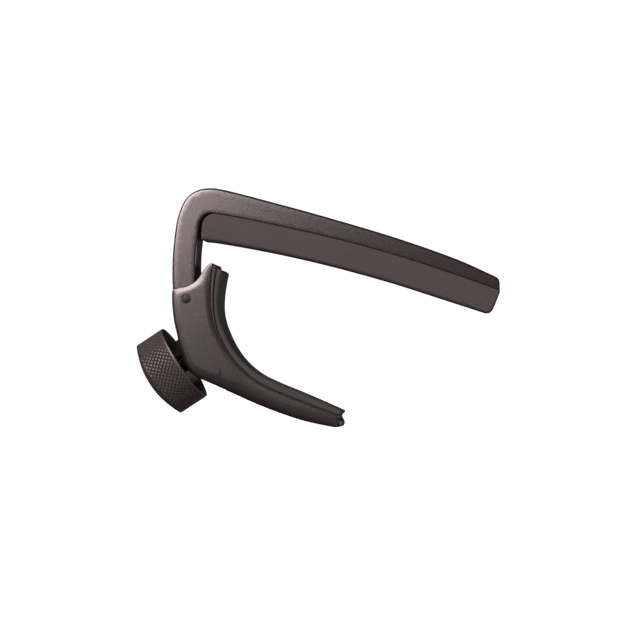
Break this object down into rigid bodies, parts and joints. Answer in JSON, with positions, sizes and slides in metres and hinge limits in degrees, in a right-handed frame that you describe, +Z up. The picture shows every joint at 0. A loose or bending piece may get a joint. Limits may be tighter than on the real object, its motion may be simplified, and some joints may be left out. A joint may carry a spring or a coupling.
{
  "type": "guitar capo",
  "caption": "Screw-adjusted guitar capo: C-shaped metal frame with rubber string pad, pivoting lever with neck pad, and knurled thumb screw.",
  "frame": {"origin": "bottom centre of the bounding box, on the surface the capo stands on", "axes": "+X from the knob towards the arm's free end, +Y through the thickness away from the viewer, +Z up"},
  "size_m": [0.0796, 0.018, 0.0503],
  "materials": {
    "painted_frame": "satin gunmetal paint",
    "painted_knob": "satin black, diamond knurled",
    "pad_rubber": "matte",
    "steel": "satin",
    "brass": "satin",
    "nylon": "matte"
  },
  "bodies": {
    "frame_body": {"frame": "painted_frame", "string_pad": "pad_rubber", "screw_bush": "brass"},
    "lever_body": {"lever": "painted_frame", "neck_pad": "pad_rubber", "pivot_pin": "steel", "spring_anchor_pin": "steel", "pivot_washer_front": "nylon", "pivot_washer_back": "nylon", "return_spring": "steel"},
    "button_body": {"thrust_button": "steel"},
    "knob_body": {"knob": "painted_knob", "knob_insert": "brass", "adjusting_screw": "steel"}
  },
  "joints": [
    {"name": "lever_swing", "type": "hinge", "parent": "frame_body", "child": "lever_body", "pos_m": [-0.02873, 0, 0.02527], "axis": [0, -1, 0], "range_deg": [0, 15]},
    {"name": "screw_feed", "type": "slide", "parent": "frame_body", "child": "button_body", "axis": [0.7867, 0, 0.6174], "range_m": [0, 0.0028]},
    {"name": "knob_turn", "type": "hinge", "parent": "button_body", "child": "knob_body", "pos_m": [-0.02194, 0, 0.01662], "axis": [0.7867, 0, 0.6174], "range_deg": [0, 1440]}
  ],
  "couplings": [
    {"joint": "lever_swing", "follows": "knob_turn", "ratio": 0.010393},
    {"joint": "screw_feed", "follows": "knob_turn", "m_per_rad": 0.00011141}
  ]
}
